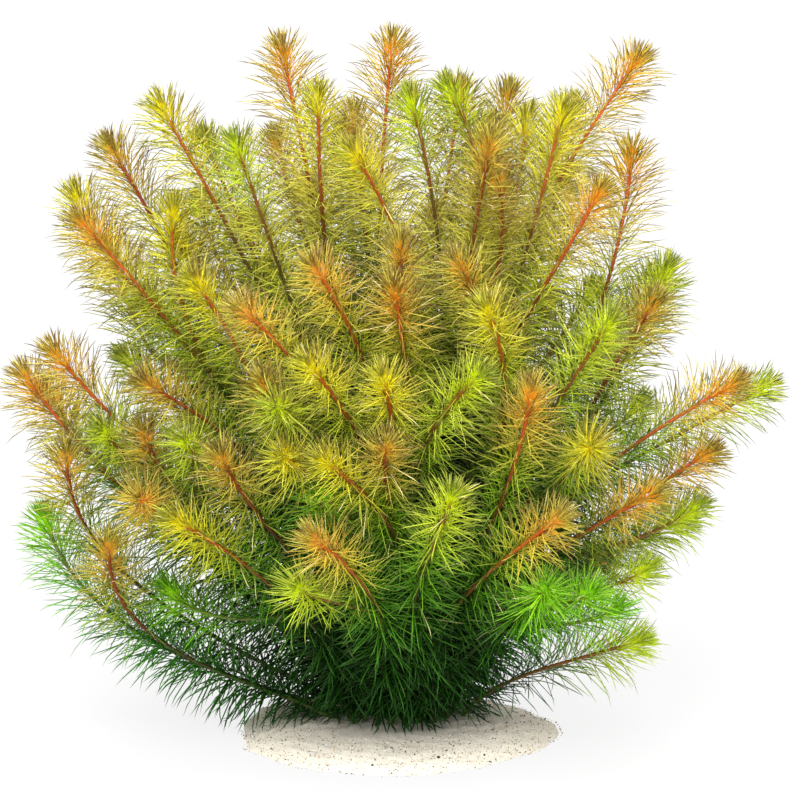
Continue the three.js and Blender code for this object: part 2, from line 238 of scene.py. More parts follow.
@dataclass(frozen=True)
class BackStems:
    """Stems set round the rear of an egg-shaped dome, from its top downwards.

    A side shoot has the angle by which it lies further from the top, its share of the dome's
    size and its fork. Each stem has the lower one, and each fourth stem the upper one too.
    """

    stems: int = 16
    across: float = 111
    deep: float = 106
    middle: float = 100
    high: float = 140
    lean_out: float = 0.8
    lean_up: float = 0.5
    top: float = 0.88
    drop: float = 1.25
    azimuth: float = 14
    sweep: float = 152
    start: float = 0.35
    turn: float = 20
    least_spread: float = 0.45
    lower_side: Point = (12, 0.92, 0.5)
    upper_side: Point = (-8, 0.88, 0.55)
    upper_every: int = 4
    tones: tuple[Tone, ...] = (ORANGE, OLIVE, GOLD, RUSSET, OLIVE)

    def shoot(
        self, tone: Tone, azimuth: float, from_top: float, share: float = 1, fork: float = 0
    ) -> Shoot:
        """A shoot whose tip lies on the dome, which points outwards and a little upwards.

        Args:
            tone: Its tone.
            azimuth: Its angle from +X round the upright axis, in degrees.
            from_top: Its angle from the dome's top, in degrees.
            share: How much of the dome's size it reaches.
            fork: How far up its stem it forks, or 0 for the stem itself.

        Returns:
            The shoot.
        """
        a, t = math.radians(azimuth), math.radians(from_top)
        x, y, z = math.cos(a) * math.sin(t), math.sin(a) * math.sin(t), math.cos(t)
        tip = (share * self.across * x, share * self.deep * y, self.middle + share * self.high * z)
        direction = unit(self.lean_out * np.array([x, y, z]) + self.lean_up * UP)
        return Shoot(tone, tip, tuple(direction), fork, free=True)

    def plan(self) -> tuple[Shoot, ...]:
        """The back's stems, each with one or two side shoots beside it."""
        return tuple(self.one(i) for i in range(self.stems))

    def one(self, i: int) -> Shoot:
        """Stem number i. Heights fall evenly, and azimuths step by the golden section.

        Args:
            i: Its number from the top, from 0.

        Returns:
            The stem with its side shoots.
        """
        from_top = math.degrees(math.acos(self.top - (i + 0.5) / self.stems * self.drop))
        azimuth = self.azimuth + self.sweep * ((self.start + GOLDEN * i) % 1)
        turn = self.turn / max(math.sin(math.radians(from_top)), self.least_spread)
        own, lower, upper = (self.tones[(i + step) % len(self.tones)] for step in (0, 1, 3))
        further, share, fork = self.lower_side
        sides = [self.shoot(lower, azimuth + turn, from_top + further, share, fork)]
        if i % self.upper_every == 0:
            further, share, fork = self.upper_side
            sides.append(self.shoot(upper, azimuth - turn, from_top + further, share, fork))
        return replace(self.shoot(own, azimuth, from_top), sides=tuple(sides))


@dataclass(frozen=True)
class PlacedShoot:
    """A shoot with its stem's number, its path in millimetres and the shoot that it forks from."""

    shoot: Shoot
    number: int
    path: Array
    parent: int | None = None
    at: int = 0


@dataclass(frozen=True)
class Layout:
    """How the stems run from the sand to their tips, and how far they keep apart."""

    sand_top: float = 3.6
    foot_radius: float = 34
    foot_depth: float = 0.55
    foot_full_angle: float = 105
    foot_aim_height: float = 20
    gap: float = 0.3
    handle: float = 0.36
    start_upright: float = 0.5
    start_with_parent: float = 0.4
    steps: int = 24
    foot_room: float = 6.5
    tip_room: float = 18
    rounds: int = 50
    push: float = 0.04
    longest_push: float = 0.8
    tip_hold: float = 0.85

    def foot(self, tip: Array) -> Array:
        """Where a stem meets the sand: below its tip, further out the more the tip leans out.

        Args:
            tip: The stem's tip.

        Returns:
            Its foot.
        """
        out = math.hypot(tip[0], tip[1])
        angle = math.degrees(math.atan2(out, tip[2] - self.sand_top - self.foot_aim_height))
        share = self.foot_radius * min(angle / self.foot_full_angle, 1) / max(out, 1)
        x, y = tip[0] * share, tip[1] * share * self.foot_depth
        return np.array([x, y, self.sand_top + self.gap])

    def arc(self, start: Array, tip: Array, direction: Array, guide: Array, share: float) -> Array:
        """A cubic curve whose start direction mirrors the tip's about the chord.

        The start direction then leans towards guide by the share given. The curve is the usual
        sum of four points by the cubic Bernstein weights.

        Args:
            start: Its first point.
            tip: Its last point.
            direction: Its direction at the tip.
            guide: What the start leans towards.
            share: How much it does.

        Returns:
            Its points, from start to tip.
        """
        chord = tip - start
        along = unit(chord)
        handle = self.handle * np.linalg.norm(chord)
        begin = unit((2 * along * (along @ direction) - direction) * (1 - share) + guide * share)
        corners = np.array([start, start + begin * handle, tip - direction * handle, tip])
        t = np.linspace(0, 1, self.steps + 1)
        weights = np.stack([(1 - t) ** 3, 3 * t * (1 - t) ** 2, 3 * t**2 * (1 - t), t**3], axis=1)
        return weights @ corners

    def lay_out(self, stems: Sequence[Shoot]) -> list[PlacedShoot]:
        """Gives every shoot of these stems its path.

        Args:
            stems: The plan.

        Returns:
            All shoots in one list, each stem before its side shoots.
        """
        placed: list[PlacedShoot] = []
        for number, row in enumerate(stems):
            tip = np.array(row.tip) + self.sand_top * UP
            foot = self.foot(tip)
            upright = self.start_upright * max(float(unit(tip - foot)[2]), 0)
            path = self.arc(foot, tip, np.array(row.direction), UP, upright)
            parent = len(placed)
            placed.append(PlacedShoot(row, number, path))
            for branch in row.sides:
                at = round(branch.fork * self.steps)
                tip = np.array(branch.tip) + self.sand_top * UP
                along = unit(path[at + 1] - path[at - 1])
                direction = np.array(branch.direction)
                branch_path = self.arc(path[at], tip, direction, along, self.start_with_parent)
                placed.append(PlacedShoot(branch, number, branch_path, parent, at))
        return placed

    def spread(self, placed: Sequence[PlacedShoot]) -> list[PlacedShoot]:
        """Moves the paths apart, a little in each round.

        A point is pushed from each point of another stem that is nearer than the room there. The
        pushes are smoothed along the shoot by quarters and halves. Listed tips are held back by
        the cube of the way up, feet stay on the sand, and a side shoot stays on its stem.

        Args:
            placed: The shoots as laid out.

        Returns:
            The shoots with their moved paths.
        """
        paths = np.array([p.path for p in placed])
        number = np.array([p.number for p in placed])
        free = np.array([p.shoot.free for p in placed])
        way = np.arange(self.steps + 1) / self.steps
        hold = np.where(free[:, None], 0, self.tip_hold * way**3)
        child = [i for i, p in enumerate(placed) if p.parent is not None]
        parent = [placed[i].parent for i in child]
        at = [placed[i].at for i in child]
        for _ in range(self.rounds):
            push = np.array([self.pushes(paths, number, i) for i in range(len(placed))])
            before = np.concatenate([push[:, :1], push[:, :-1]], axis=1)
            after = np.concatenate([push[:, 1:], push[:, -1:]], axis=1)
            move = (before + 2 * push + after) * ((1 - hold) / 4)[..., None]
            move[:, 0, 2] = 0
            paths = paths + move
            paths[child, 0] = paths[parent, at]
        return [replace(p, path=path) for p, path in zip(placed, paths)]

    def pushes(self, paths: Array, number: Array, i: int) -> Array:
        """The pushes on the points of one shoot from the points of other stems.

        Each push points away from the other point. It grows with the lack of room, and weighs
        more the closer the two are.

        Args:
            paths: All paths, as shoots by points by coordinates.
            number: The number of each shoot's stem.
            i: Which shoot.

        Returns:
            One vector for each of its points.
        """
        others = paths[number != number[i]]
        step = np.arange(self.steps + 1)
        more = (self.tip_room - self.foot_room) / self.steps / 2
        room = self.foot_room + more * (step[:, None] + np.tile(step, len(others))[None, :])
        points = others.reshape(-1, 3)
        mine = paths[i]
        squares = (mine**2).sum(1)[:, None] + (points**2).sum(1)[None, :] - 2 * mine @ points.T
        apart = np.sqrt(np.maximum(squares, TINY))
        much = np.where(apart < room, (room - apart) * room / (apart * (apart + 1)), 0)
        push = self.push * (mine * much.sum(1)[:, None] - much @ points)
        length = np.linalg.norm(push, axis=1, keepdims=True)
        return push * np.minimum(1, self.longest_push / np.maximum(length, TINY))


# Meshes: patches of triangles worked out as whole arrays, and joined into one piece.


def together(records: Sequence[Record]) -> Record:
    """Records of arrays, all of one class, as one whose arrays hold all of theirs end to end."""
    columns = ([getattr(r, field.name) for r in records] for field in fields(records[0]))
    return type(records[0])(*map(np.concatenate, columns))


def linked(name: str, data: bpy.types.ID) -> bpy.types.Object:
    """A new object of this data, linked to the scene.

    Args:
        name: Its name.
        data: Its mesh, lamp or camera.

    Returns:
        The object, at the origin.
    """
    thing = bpy.data.objects.new(name, data)
    bpy.context.scene.collection.objects.link(thing)
    return thing


def shell(count: int, n: int) -> tuple[Array, Array, Array]:
    """Triangles over rings of points, closed by a fan at each end.

    Point i of ring k has the number k times n plus i, and the two ends' middles come last.

    Args:
        count: How many rings there are.
        n: How many points each ring has.

    Returns:
        The triangles, and the ring and the point that each square starts from.
    """
    k, i = (grid.ravel() for grid in np.meshgrid(np.arange(count - 1), np.arange(n), indexing="ij"))
    a, b = k * n + i, k * n + (i + 1) % n
    j = np.arange(n)
    last, middle = (count - 1) * n, np.full(n, count * n)
    parts = (
        (a, b, b + n),
        (a, b + n, a + n),
        (middle, (j + 1) % n, j),
        (middle + 1, last + j, last + (j + 1) % n),
    )
    return np.concatenate([np.stack(part, 1) for part in parts]), k, i


@dataclass(frozen=True)
class Patch:
    """Some triangles of a piece, with what each point carries for the finishes.

    below_tip is the distance from the shoot's tip in metres, along is the share of the way from
    a leaf's base to its point, tint is a random share, and blush is how brown a leaf has turned.
    Each corner has its place in the map.
    """

    points: Array
    triangles: Array
    below_tip: Array
    along: Array
    tint: Array
    blush: Array
    material: Array
    corners: Array

    @staticmethod
    def joined(patches: Sequence["Patch"]) -> "Patch":
        """All patches as one, with the triangles' numbers moved on."""
        starts = np.cumsum([0] + [len(p.points) for p in patches[:-1]])
        return together([replace(p, triangles=p.triangles + s) for p, s in zip(patches, starts)])

    def made(self, name: str, materials: Sequence[bpy.types.Material]) -> bpy.types.Object:
        """A Blender object of this patch, with its attributes, map and materials.

        Args:
            name: The piece's name.
            materials: Its materials, in the order of the patch's numbers.

        Returns:
            The object, linked to the scene and at the origin.
        """
        mesh = bpy.data.meshes.new(name)
        mesh.vertices.add(len(self.points))
        mesh.vertices.foreach_set("co", self.points.astype(np.float32).ravel())
        mesh.loops.add(self.triangles.size)
        mesh.loops.foreach_set("vertex_index", self.triangles.astype(np.int32).ravel())
        starts = np.arange(0, self.triangles.size, 3, dtype=np.int32)
        mesh.polygons.add(len(starts))
        mesh.polygons.foreach_set("loop_start", starts)
        mesh.polygons.foreach_set("material_index", self.material.astype(np.int32))
        mesh.polygons.foreach_set("use_smooth", np.ones(len(starts), bool))
        for key in CARRIED:
            layer = mesh.attributes.new(key, "FLOAT", "POINT")
            layer.data.foreach_set("value", getattr(self, key).astype(np.float32))
        places = mesh.uv_layers.new(name="OFBake")
        places.data.foreach_set("uv", self.corners.astype(np.float32).ravel())
        for material in materials:
            mesh.materials.append(material)
        mesh.update(calc_edges=True)
        mesh.validate()
        return linked(name, mesh)


@dataclass(frozen=True)
class SandBed:
    """The low oval patch of sand: its frame's slope with an uneven surface and loose grains.

    slope holds heights in millimetres at shares of the way outwards, and waves the outline's sine
    waves: size, number round the patch and start. Pebbles are in millimetres: two coordinates and
    a radius.
    """

    half_width: float = 57 * MM
    half_depth: float = 48 * MM
    middle: float = -15 * MM
    slope: tuple[Band, ...] = ((0.0, 3.6), (0.7, 3.5), (0.86, 2.3), (0.95, 1.0), (1.0, 0.2))
    waves: tuple[Wave, ...] = (
        (0.025, 3, 1.0), (0.018, 5, 2.0), (0.008, 11, 0.4), (0.006, 19, 3.0), (0.004, 37, 1.3),
    )
    ripple: float = 0.3 * MM
    broad_ripples: tuple[float, ...] = (410, 3, 170, 390, 2, 230)
    fine_ripples: tuple[float, ...] = (1100, 700, 900, 500)
    fine_share: float = 0.5
    flat_rim: Band = (1.0, 0.85)
    around: int = 150
    outward: int = 40
    grains: int = 4800
    grain_radius: Band = (0.15 * MM, 0.42 * MM)
    grain_rarity: int = 3
    grain_reach: Band = (0.4, 1.03)
    grain_stretch: Band = (0.65, 1.2)
    raised: float = 0.15
    raised_on_ground: float = 0.6
    pebbles: tuple[Point, ...] = (
        (-8, -58, 0.8), (15.5, -52, 0.9), (32, -46, 0.6), (7, -50, 0.5), (-47, 3, 0.7),
    )
    pebble_tint: float = 0.1
    leaf_room: float = 0.4 * MM
    map_reach: float = 2.4

    def wave(self, angle: Array) -> Array:
        """How far the outline reaches at an angle: one plus wide and ragged sine waves."""
        return 1 + sum(size * np.sin(count * angle + start) for size, count, start in self.waves)

    def share(self, x: Array, y: Array) -> Array:
        """How far out a place is, as a share of the patch's reach in its direction."""
        u, v = x / self.half_width, (y - self.middle) / self.half_depth
        return np.hypot(u, v) / self.wave(np.arctan2(v, u))

    def spread(self, reach: Array, angle: Array) -> tuple[Array, Array]:
        """The place at an angle and at a reach, which is 1 on the plain oval."""
        x = self.half_width * reach * np.cos(angle)
        return x, self.middle + self.half_depth * reach * np.sin(angle)

    def height(self, x: Array, y: Array) -> Array:
        """The surface's height at a place.

        It is the slope by the share outwards, plus the product of two bent sine waves across each
        other and a share of the product of two slanted ones. These fade out before the rim.

        Args:
            x: The places' first coordinates.
            y: Their second ones.

        Returns:
            Their heights.
        """
        places, heights = np.array(self.slope).T
        share = self.share(x, y)
        base = np.interp(share, places, heights * MM, right=0)
        a, b, c, d, e, f = self.broad_ripples
        uneven = np.sin(a * x + b * np.sin(c * y)) * np.sin(d * y + e * np.sin(f * x))
        a, b, c, d = self.fine_ripples
        uneven = uneven + self.fine_share * np.sin(a * x + b * y) * np.sin(c * y - d * x)
        return base + self.ripple * uneven * blend(*self.flat_rim, share)

    def lowest_leaf(self, x: Array, y: Array) -> Array:
        """The least height of a leaf's middle line, just above the sand or the ground."""
        return np.where(self.share(x, y) < 1, self.height(x, y), 0) + self.leaf_room

    def surface(self) -> Patch:
        """The sand as one closed surface: a polar grid on top, a rim and a flat underside.

        Rings of the grid lie closer together towards the rim. The last ring drops to the ground,
        and two fans close the middle of the top and the underside.

        Returns:
            The patch.
        """
        ring = np.sin(np.linspace(0, np.pi / 2, self.outward + 1)[1:])
        angle = np.arange(self.around) * 2 * np.pi / self.around
        x, y = self.spread(ring[:, None] * self.wave(angle)[None, :], angle)
        z = self.height(x, y)
        z[-1] = self.slope[-1][1] * MM
        rings = np.stack([x, y, z], axis=-1)
        under = rings[-1] * np.array([1, 1, 0])
        centre = float(self.height(np.zeros(1), np.array([self.middle]))[0])
        middle = np.array([[0, self.middle, centre], [0, self.middle, 0]])
        points = np.concatenate([rings.reshape(-1, 3), under, middle])
        triangles = shell(self.outward + 1, self.around)[0][:, ::-1]
        return self.mapped(points, triangles, np.zeros(len(points)), loose=False)

    def mapped(self, points: Array, triangles: Array, tint: Array, loose: bool) -> Patch:
        """A patch mapped from above, loose grains and the sand each into a half of the map.

        Args:
            points: Its points.
            triangles: Its triangles.
            tint: Each point's random share.
            loose: Whether it is loose grains, which its points then carry as along.

        Returns:
            The patch.
        """
        flat = points[triangles][..., :2] / (self.map_reach * self.half_width) + 0.5
        flat = flat * np.array([0.5, 1.0]) + np.array([0 if loose else 0.5, 0])
        zero = np.zeros(len(points))
        none = np.zeros(len(triangles), int)
        return Patch(points, triangles, zero, zero + loose, tint, zero, none, flat)

    def loose_grains(self, rng: np.random.Generator) -> Patch:
        """Grains half sunk in the surface, a few on the ground round the rim, and some pebbles.

        Each is an octahedron, stretched and turned at random. Its six corners are its middle plus
        and minus its three half axes. Larger grains are rarer.

        Args:
            rng: Random numbers.

        Returns:
            The patch.
        """
        n = self.grains
        nearest, furthest = self.grain_reach
        angle = rng.uniform(0, 2 * np.pi, n)
        share = np.sqrt(rng.uniform(nearest**2, furthest**2, n))
        x, y = self.spread(share * self.wave(angle), angle)
        radius = between(*self.grain_radius, rng.random(n) ** self.grain_rarity)
        tint = rng.random(n)
        few = len(self.pebbles)
        x[:few], y[:few], radius[:few] = np.array(self.pebbles).T * MM
        tint[:few], share[:few] = self.pebble_tint, 0
        ground = np.where(share < 1, self.height(x, y), self.raised_on_ground * radius)
        middle = np.stack([x, y, ground + self.raised * radius], 1)
        turned = np.linalg.qr(rng.normal(size=(n, 3, 3)))[0]
        axes = turned * rng.uniform(*self.grain_stretch, (n, 3, 1)) * radius[:, None, None]
        axes = axes * np.sign(np.linalg.det(axes))[:, None, None]
        corners = np.concatenate([middle[:, None] + axes, middle[:, None] - axes], axis=1)
        corners[..., 2] = np.maximum(corners[..., 2], 0)
        sides = [(0, 1), (1, 3), (3, 4), (4, 0)]
        faces = np.array([(a, b, 2) for a, b in sides] + [(b, a, 5) for a, b in sides])
        triangles = (faces[None] + 6 * np.arange(n)[:, None, None]).reshape(-1, 3)
        return self.mapped(corners.reshape(-1, 3), triangles, np.repeat(tint, 6), loose=True)

    def build(self, finish: "SandFinish") -> bpy.types.Object:
        """Makes the sand's piece and gives it its finish.

        Args:
            finish: How the sand looks.

        Returns:
            The piece.
        """
        whole = Patch.joined([self.surface(), self.loose_grains(np.random.default_rng(SAND_SEED))])
        piece = whole.made("sand_patch", [finish.material()])
        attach(piece, "root")
        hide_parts("sand_bed")
        log.info("sand_patch: %d triangles", len(whole.triangles))
        return piece


class Axis:
    """The middle line of a shoot in metres, with a direction and two cross directions along it."""

    SPAN_STEPS = 4
    LEAST_ACROSS = 1e-6

    def __init__(self, path: Array) -> None:
        """Runs a Catmull-Rom curve through the points of a path.

        Each span is the cubic through its two ends whose slopes there are half the chords
        between their neighbours.

        Args:
            path: The points in metres, from the foot to the tip.
        """
        ends = np.vstack([2 * path[0] - path[1], path, 2 * path[-1] - path[-2]])
        p0, p1, p2, p3 = (ends[k : k + len(path) - 1, None, :] for k in range(4))
        t = (np.arange(self.SPAN_STEPS) / self.SPAN_STEPS)[None, :, None]
        cubic = p1 + (p2 - p0) * t / 2
        cubic = cubic + (2 * p0 - 5 * p1 + 4 * p2 - p3) * t**2 / 2
        cubic = cubic + (3 * p1 - p0 - 3 * p2 + p3) * t**3 / 2
        self.points = np.vstack([cubic.reshape(-1, 3), path[-1:]])
        steps = np.linalg.norm(np.diff(self.points, axis=0), axis=1)
        self.stations = np.concatenate([[0], np.cumsum(steps)])
        self.length = float(self.stations[-1])
        self.tangents = unit(np.gradient(self.points, self.stations, axis=0))
        across = np.cross(UP, path[-1] - path[0])
        upright = np.linalg.norm(across) < self.LEAST_ACROSS
        self.across = np.array([0.0, 1.0, 0.0]) if upright else unit(across)

    def along(self, station: Array, values: Array) -> Array:
        """Vectors given at the line's points, worked out evenly for places between them."""
        return np.stack([np.interp(station, self.stations, c) for c in values.T], axis=-1)

    def at(self, station: Array) -> tuple[Array, Array, Array, Array]:
        """Places on the line. Below its start it runs straight on.

        Args:
            station: Distances from the foot.

        Returns:
            The points, the directions, and two cross directions.
        """
        along = unit(self.along(station, self.tangents))
        point = self.along(station, self.points) + along * np.minimum(station, 0)[..., None]
        first = unit(self.across - along * (along @ self.across)[..., None])
        return point, along, first, np.cross(along, first)


@dataclass(frozen=True)
class Whorls:
    """Where the leaves sit on a shoot: whorls that lie close at the tip and wider below it."""

    first_pitch: float = 0.5 * MM
    more_pitch: float = 0.07 * MM
    full_pitch: float = 2.7 * MM
    leaves: int = 11
    bare_foot: float = 3 * MM
    most: int = 140

    def below_tip(self, length: float) -> Array:
        """Distances of the whorls from the tip. The pitch grows evenly to its full size.

        Args:
            length: The shoot's length.

        Returns:
            The distances, from the tip downwards.
        """
        pitch = self.first_pitch + self.more_pitch * np.arange(self.most)
        places = np.concatenate([[0], np.cumsum(np.minimum(pitch, self.full_pitch))])
        return places[places < length - self.bare_foot]


@dataclass(frozen=True)
class Bark:
    """The thin stem of a shoot: a tube that swells a little at each whorl and ends in a point."""

    foot_radius: float = 0.76 * MM
    tip_radius: float = 0.6 * MM
    bud_radius: float = 0.25 * MM
    bud_length: float = 8 * MM
    swell: float = 0.24
    planted: float = 2.5 * MM
    sides: int = 5
    map_height: float = 0.1
    map_room: Band = (0.05, 0.95)
    map_end: float = 0.01

    def rings(self, length: float, places: Array, rooted: bool) -> tuple[Array, Array]:
        """Rings at each whorl, halfway between them and at the ends, from the foot to the tip.

        Args:
            length: The shoot's length.
            places: The whorls' distances from the tip.
            rooted: Whether the shoot goes down into the sand.

        Returns:
            The rings' distances from the tip, and the shares by which the tube swells there.
        """
        whorls = places[places > self.bud_length / 2]
        middles = (whorls[1:] + whorls[:-1]) / 2
        ends = np.array([length + (self.planted if rooted else 0), self.bud_length / 3, 0])
        below = np.concatenate([whorls, middles, ends])
        counts = [len(whorls), len(middles), len(ends)]
        swells = np.repeat([self.swell, -self.swell / 2, 0], counts)
        order = np.argsort(-below)
        return below[order], swells[order]

    def build(self, axis: Axis, places: Array, slot: int, band: Band, rooted: bool) -> Patch:
        """The tube, closed at both ends.

        A ring's point is the axis point plus the radius times the cosine of its angle along one
        cross direction and the sine along the other. The radius falls evenly from the foot to
        the tip, and softly to the bud.

        Args:
            axis: The shoot's middle line.
            places: The whorls' distances from the tip.
            slot: The number of its material.
            band: The lowest and highest part of the map that the tube takes.
            rooted: Whether it goes down into the sand.

        Returns:
            The tube's patch.
        """
        below, swells = self.rings(axis.length, places, rooted)
        station = axis.length - below
        centre, _, first, second = axis.at(station)
        share = np.clip(station / axis.length, 0, 1)
        young = 1 - blend(0, self.bud_length, below)
        radius = between(self.foot_radius, self.tip_radius, share)
        radius = (radius * (1 - young) + self.bud_radius * young) * (1 + swells)
        angle = np.arange(self.sides) * 2 * np.pi / self.sides
        ring = np.cos(angle)[:, None] * first[:, None] + np.sin(angle)[:, None] * second[:, None]
        rings = centre[:, None] + radius[:, None, None] * ring
        points = np.concatenate([rings.reshape(-1, 3), centre[:1], centre[-1:]])
        triangles, k, i = shell(len(below), self.sides)
        carried = np.concatenate([np.repeat(below, self.sides), below[:1], below[-1:]])
        zero = np.zeros(len(points))
        slots = np.full(len(triangles), slot)
        corners = self.corners(share, k, i, band)
        return Patch(points, triangles, carried, zero, zero, zero, slots, corners)

    def corners(self, share: Array, k: Array, i: Array, band: Band) -> Array:
        """The map's places of the tube's corners: its length runs across, its girth up the band.

        Args:
            share: Each ring's share of the way up.
            k: The ring that each square starts from.
            i: The point that each square starts from.
            band: The lowest and highest part of the map that the tube takes.

        Returns:
            The places, by triangle and corner.
        """
        low, high = band
        u, next_u = share[k], share[k + 1]
        v, next_v = (between(low, high, point / self.sides) for point in (i, i + 1))
        one_half = np.stack([u, v, u, next_v, next_u, next_v], 1)
        other_half = np.stack([u, v, next_u, next_v, next_u, v], 1)
        foot, bud = ([u, low, u, high, abs(u - self.map_end), low] for u in (0, 1))
        fans = np.repeat(np.array([foot, bud]), self.sides, axis=0)
        return np.concatenate([one_half, other_half, fans]).reshape(-1, 3, 2)


@dataclass(frozen=True)
class LeafSpots:
    """Where the leaves of a piece start, and how each one is turned and sized, as arrays."""

    base: Array
    along: Array
    out: Array
    below_tip: Array
    lean: Array
    length: Array
    width: Array
    curl: Array
    sway: Array
    droop: Array
    roll: Array
    tint: Array
    blush: Array
    tone: Array

    def some(self, which: Array) -> "LeafSpots":
        """The spots that a mask keeps."""
        return LeafSpots(*(getattr(self, field.name)[which] for field in fields(self)))


@dataclass(frozen=True)
class NeedleLeaves:
    """The needle leaves: upright at the tip, spreading below it, and long and drooping when old.

    Three values are for leaves at the tip, full ones and old ones, and two for young and old ones.
    Leans are in degrees from the shoot. A spread is the size of a random change. Rings are shares
    of a leaf's length with shares of its width. The cell is a leaf's room in the map.
    """

    old: Band = (35 * MM, 130 * MM)
    lengths: Point = (8.5 * MM, 17.5 * MM, 18.5 * MM)
    length_over: float = 5.5 * MM
    length_spread: float = 0.09
    widths: Band = (0.42 * MM, 0.7 * MM)
    width_spread: float = 0.1
    thickness: float = 0.5
    keel: float = 1.4
    leans: Point = (12, 52, 64)
    lean_over: float = 6 * MM
    lean_spread: float = 11
    least_lean: float = 3
    turn_spread: float = 0.14
    seat_spread: float = 0.3 * MM
    curls: Point = (0, 0.16, 0.1)
    curl_spread: float = 0.14
    sways: Band = (0.18, 0.32)
    droops: Band = (0.03, 0.36)
    droop_spread: Band = (0.4, 1.5)
    roll_spread: float = 0.5
    kept: Band = (1, 0.9)
    kept_in_shade: Band = (1, 0.35)
    shade: Band = (-0.35, -0.85)
    shade_reach: Band = (84 * MM, 42 * MM)
    foot_share: Band = (0.6, 1)
    foot_reach: float = 42 * MM
    blush_middle: float = 0.5
    blush_reach: float = 0.45
    blush_side: Point = (0.62, -0.15, 0.75)
    blush_spread: float = 0.22
    heart_to: float = 6 * MM
    heart_rings: tuple[Band, ...] = ((0.36, 1.0), (0.8, 0.9))
    side_rings: tuple[Band, ...] = ((0.26, 0.9), (0.82, 0.85))
    back_rings: tuple[Band, ...] = ((0.6, 1.0),)
    back_width: float = 1.3
    cell_left: float = 0.08
    cell_side: float = 0.28
    cell_foot: float = 0.05
    cell_top: float = 0.95
    cell_slenderness: float = 3
    sand: SandBed = SandBed()

    def grown(self, sizes: Point, over: float, below: Array, old: Array) -> Array:
        """A size that goes over from the tip's to the full one, and then to the old one.

        With d the distance below the tip, it is the tip's size plus the rest times one minus e to
        the minus d over a set length, plus what is left to the old size times the share of age.

        Args:
            sizes: The three sizes.
            over: The set length.
            below: The leaves' distances below the tip.
            old: Their shares of age.

        Returns:
            Their sizes.
        """
        tip, full, last = sizes
        return between(tip, full, 1 - np.exp(-below / over)) + (last - full) * old

    def spots(self, axis: Axis, whorls: Whorls, tone: int, rng: np.random.Generator) -> LeafSpots:
        """Sets the leaves of one shoot.

        Old leaves lean, droop and miss more, most of all under the lowest part of a stem. Whorls
        are turned by the golden angle. A leaf is browner the more it points up or to the right.

        Args:
            axis: The shoot's middle line.
            whorls: Where its whorls sit.
            tone: The number of the shoot's tone.
            rng: The shoot's random numbers.

        Returns:
            The spots of its leaves.
        """
        places = whorls.below_tip(axis.length)
        d = np.repeat(places, whorls.leaves)
        n = len(d)
        turn = np.repeat(np.arange(len(places)) * GOLDEN, whorls.leaves)
        angle = 2 * np.pi * (turn + np.tile(np.arange(whorls.leaves), len(places)) / whorls.leaves)
        angle = angle + rng.normal(0, self.turn_spread, n)
        old = blend(*self.old, d)
        station = axis.length - d + rng.normal(0, self.seat_spread, n)
        base, along, first, second = axis.at(np.minimum(station, axis.length))
        out = np.cos(angle)[:, None] * first + np.sin(angle)[:, None] * second
        shaded = blend(*self.shade, out[:, 2]) * blend(*self.shade_reach, station)
        likely = between(*self.kept, old) * between(*self.kept_in_shade, shaded)
        kept = rng.random(n) < likely
        lean = self.grown(self.leans, self.lean_over, d, old)
        lean = lean + rng.normal(0, self.lean_spread, n)
        length = self.grown(self.lengths, self.length_over, d, old)
        length = length * rng.normal(1, self.length_spread, n)
        length = length * between(*self.foot_share, blend(0, self.foot_reach, station))
        width = between(*self.widths, old) * rng.normal(1, self.width_spread, n)
        blush = self.blush_middle + self.blush_reach * out @ np.array(self.blush_side)
        blush = blush + rng.normal(0, self.blush_spread, n)
        curl = rng.normal(0, self.curl_spread, n) + self.grown(self.curls, self.lean_over, d, old)
        spots = LeafSpots(
            base,
            along,
            out,
            d,
            np.radians(np.maximum(np.abs(lean), self.least_lean)),
            length,
            width,
            curl,
            rng.normal(0, 1, n) * between(*self.sways, old),
            between(*self.droops, old) * rng.uniform(*self.droop_spread, n),
            rng.normal(0, self.roll_spread, n),
            rng.random(n),
            np.clip(blush, 0, 1),
            np.full(n, tone),
        )
        return spots.some(kept)

    def dress(self, spots: LeafSpots, simple: bool, floor: float) -> list[Patch]:
        """The leaves of a piece. They have one ring at the back of the clump, and two elsewhere.

        The bases of the leaves next to a tip are the shoot's heart.

        Args:
            spots: Where the leaves are.
            simple: Whether the piece stands at the back.
            floor: The lowest part of the map that the leaves may take.

        Returns:
            Their patches.
        """
        near = spots.below_tip < self.heart_to
        if simple:
            spots = replace(spots, width=spots.width * self.back_width)
        other_rings = self.back_rings if simple else self.side_rings
        patches = []
        for form, which, rings in (
            (Form.HEART, near, self.heart_rings),
            (Form.LEAF, ~near, other_rings),
        ):
            top = floor + (1 - floor) * which.sum() / len(which)
            patches.append(self.build(spots.some(which), rings, (floor, top), form))
            floor = top
        return patches

